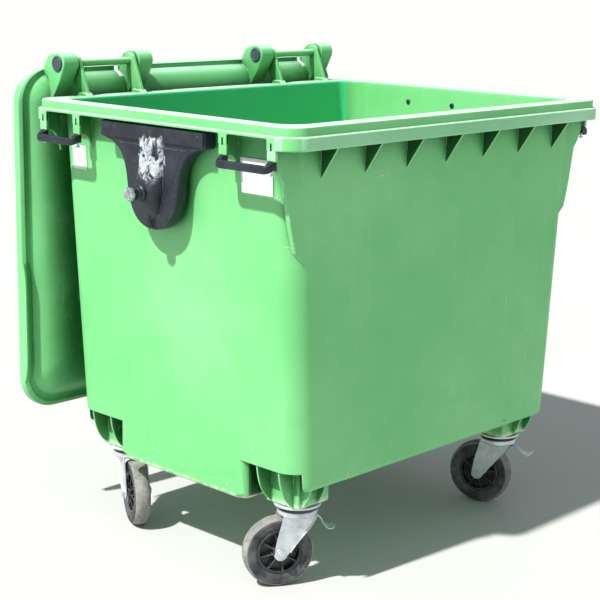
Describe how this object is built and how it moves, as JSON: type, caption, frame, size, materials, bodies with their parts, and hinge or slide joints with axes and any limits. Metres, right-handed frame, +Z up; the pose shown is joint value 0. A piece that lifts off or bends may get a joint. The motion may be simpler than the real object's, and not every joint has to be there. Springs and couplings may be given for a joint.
{
  "type": "wheelie bin",
  "caption": "Large four-wheeled refuse container with a flat hinged lid hanging open behind it, side lifting spigots, hand grips and braked swivel casters.",
  "frame": {"origin": "middle of the footprint of the whole part at floor level, lid hanging open", "axes": "+Z up, +X along the long side, -Y towards the ribbed front, the hinges are on the +Y side"},
  "size_m": [1.514, 1.158, 1.415],
  "materials": {
    "body_green": "satin moulded polyethylene, sun-faded and lightly scuffed",
    "lid_green": "satin moulded polyethylene, lightly scuffed",
    "slate_plastic": "scratched dark moulded plastic",
    "black_plastic": "satin moulded plastic",
    "zinc_steel": "bright zinc plating",
    "bright_steel": "worn bare steel end on a dark spigot",
    "tyre_rubber": "dusty solid rubber",
    "label_paper": "blank weathered sticker"
  },
  "bodies": {
    "tub": {"tub": "body_green", "drain_plug": "black_plastic", "hinge_pin_left_a": "slate_plastic", "hinge_pin_left_b": "slate_plastic", "hinge_pin_right_a": "slate_plastic", "hinge_pin_right_b": "slate_plastic", "lift_bracket_left": "slate_plastic", "lift_spigot_left": "bright_steel", "grip_left_front": "slate_plastic", "grip_screw_left_front_a": "zinc_steel", "grip_screw_left_front_b": "zinc_steel", "grip_left_rear": "slate_plastic", "grip_screw_left_rear_a": "zinc_steel", "grip_screw_left_rear_b": "zinc_steel", "bracket_bolt_left_1": "zinc_steel", "bracket_bolt_left_2": "zinc_steel", "bracket_bolt_left_3": "zinc_steel", "lift_bracket_right": "slate_plastic", "lift_spigot_right": "bright_steel", "grip_right_front": "slate_plastic", "grip_screw_right_front_a": "zinc_steel", "grip_screw_right_front_b": "zinc_steel", "grip_right_rear": "slate_plastic", "grip_screw_right_rear_a": "zinc_steel", "grip_screw_right_rear_b": "zinc_steel", "bracket_bolt_right_1": "zinc_steel", "bracket_bolt_right_2": "zinc_steel", "bracket_bolt_right_3": "zinc_steel", "caster_plate_front_left": "zinc_steel", "caster_plate_front_right": "zinc_steel", "caster_plate_rear_left": "zinc_steel", "caster_plate_rear_right": "zinc_steel", "label_front": "label_paper", "label_rear": "label_paper"},
    "lid": {"lid": "lid_green"},
    "fork_front_left": {"fork_front_left": "zinc_steel", "axle_bolt_front_left": "zinc_steel", "axle_nut_front_left": "zinc_steel"},
    "wheel_front_left": {"tyre_front_left": "tyre_rubber", "wheel_hub_front_left": "black_plastic"},
    "brake_pedal_front_left": {"brake_pedal_front_left": "zinc_steel"},
    "fork_front_right": {"fork_front_right": "zinc_steel", "axle_bolt_front_right": "zinc_steel", "axle_nut_front_right": "zinc_steel"},
    "wheel_front_right": {"tyre_front_right": "tyre_rubber", "wheel_hub_front_right": "black_plastic"},
    "brake_pedal_front_right": {"brake_pedal_front_right": "zinc_steel"},
    "fork_rear_left": {"fork_rear_left": "zinc_steel", "axle_bolt_rear_left": "zinc_steel", "axle_nut_rear_left": "zinc_steel"},
    "wheel_rear_left": {"tyre_rear_left": "tyre_rubber", "wheel_hub_rear_left": "black_plastic"},
    "fork_rear_right": {"fork_rear_right": "zinc_steel", "axle_bolt_rear_right": "zinc_steel", "axle_nut_rear_right": "zinc_steel"},
    "wheel_rear_right": {"tyre_rear_right": "tyre_rubber", "wheel_hub_rear_right": "black_plastic"}
  },
  "joints": [
    {"name": "lid_hinge", "type": "hinge", "parent": "tub", "child": "lid", "pos_m": [0, 0.486, 1.384], "axis": [1, 0, 0], "range_deg": [0, 270]},
    {"name": "swivel_front_left", "type": "hinge", "parent": "tub", "child": "fork_front_left", "pos_m": [-0.46, -0.401, 0.214], "axis": [0, 0, 1], "continuous": true},
    {"name": "wheel_front_left", "type": "hinge", "parent": "fork_front_left", "child": "wheel_front_left", "pos_m": [-0.50629, -0.37319, 0.1], "axis": [-0.515, -0.8572, 0], "continuous": true},
    {"name": "brake_front_left", "type": "hinge", "parent": "fork_front_left", "child": "brake_pedal_front_left", "pos_m": [-0.41714, -0.42675, 0.198], "axis": [-0.515, -0.8572, 0], "range_deg": [0, 25]},
    {"name": "swivel_front_right", "type": "hinge", "parent": "tub", "child": "fork_front_right", "pos_m": [0.46, -0.401, 0.214], "axis": [0, 0, 1], "continuous": true},
    {"name": "wheel_front_right", "type": "hinge", "parent": "fork_front_right", "child": "wheel_front_right", "pos_m": [0.44331, -0.34964, 0.1], "axis": [-0.9511, -0.309, 0], "continuous": true},
    {"name": "brake_front_right", "type": "hinge", "parent": "fork_front_right", "child": "brake_pedal_front_right", "pos_m": [0.47545, -0.44855, 0.198], "axis": [-0.9511, -0.309, 0], "range_deg": [-25, 0]},
    {"name": "swivel_rear_left", "type": "hinge", "parent": "tub", "child": "fork_rear_left", "pos_m": [-0.46, 0.303, 0.214], "axis": [0, 0, 1], "continuous": true},
    {"name": "wheel_rear_left", "type": "hinge", "parent": "fork_rear_left", "child": "wheel_rear_left", "pos_m": [-0.48452, 0.25489, 0.1], "axis": [0.891, -0.454, 0], "continuous": true},
    {"name": "swivel_rear_right", "type": "hinge", "parent": "tub", "child": "fork_rear_right", "pos_m": [0.46, 0.303, 0.214], "axis": [0, 0, 1], "continuous": true},
    {"name": "wheel_rear_right", "type": "hinge", "parent": "fork_rear_right", "child": "wheel_rear_right", "pos_m": [0.48535, 0.35068, 0.1], "axis": [-0.8829, 0.4695, 0], "continuous": true}
  ]
}
